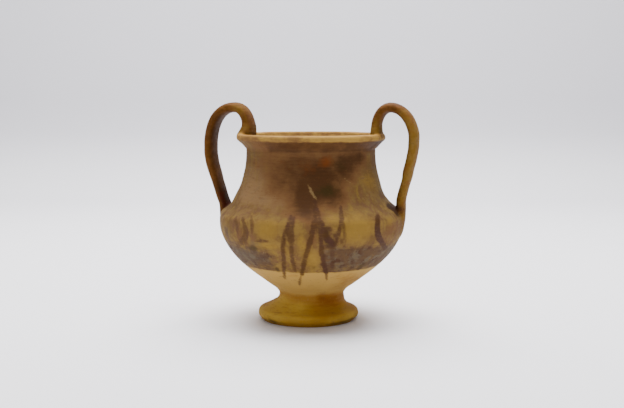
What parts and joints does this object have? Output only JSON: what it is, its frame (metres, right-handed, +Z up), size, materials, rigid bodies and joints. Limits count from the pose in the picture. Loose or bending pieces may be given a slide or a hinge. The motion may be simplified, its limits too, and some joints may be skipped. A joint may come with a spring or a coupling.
{
  "type": "drinking cup",
  "caption": "Deep clay drinking cup with a rounded belly, flaring neck, rounded lip, low disc foot and high strap handles on opposite sides; worn painted surface.",
  "frame": {"origin": "middle of the foot's underside, on the surface the cup stands on", "axes": "+Z up, handles towards +X and -X, plain front side towards -Y"},
  "size_m": [0.1496, 0.1268, 0.15],
  "materials": {
    "fired_clay": "matt ochre clay with worn brown and purple-brown paint"
  },
  "bodies": {
    "root": {"cup": "fired_clay"}
  },
  "joints": []
}
